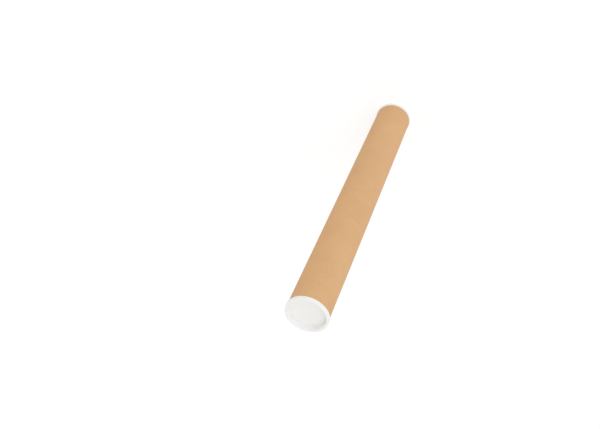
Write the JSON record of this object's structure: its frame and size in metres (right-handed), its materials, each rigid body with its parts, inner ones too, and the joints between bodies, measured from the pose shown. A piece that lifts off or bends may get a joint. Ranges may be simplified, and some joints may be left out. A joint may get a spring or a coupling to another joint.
{
  "type": "cardboard mailing tube",
  "caption": "Round kraft cardboard mailing tube with a white push-in plastic cap in each end, for posting rolled papers.",
  "frame": {"origin": "centre of the bottom cap's outer face, on the surface that the tube stands on", "axes": "+Z along the tube's axis from the bottom cap to the top cap; X and Y are free, as it is round"},
  "size_m": [0.0552, 0.0552, 0.459],
  "materials": {
    "kraft_board": "matte",
    "white_plastic": "satin"
  },
  "bodies": {
    "bottom_cap": {"bottom_end_cap": "white_plastic"},
    "board_tube": {"tube": "kraft_board"},
    "top_cap": {"top_end_cap": "white_plastic"}
  },
  "joints": [
    {"name": "bottom_cap_pull", "type": "slide", "parent": "bottom_cap", "child": "board_tube", "axis": [0, 0, 1], "range_m": [0, 0.03]},
    {"name": "top_cap_pull", "type": "slide", "parent": "board_tube", "child": "top_cap", "axis": [0, 0, 1], "range_m": [0, 0.03]}
  ]
}
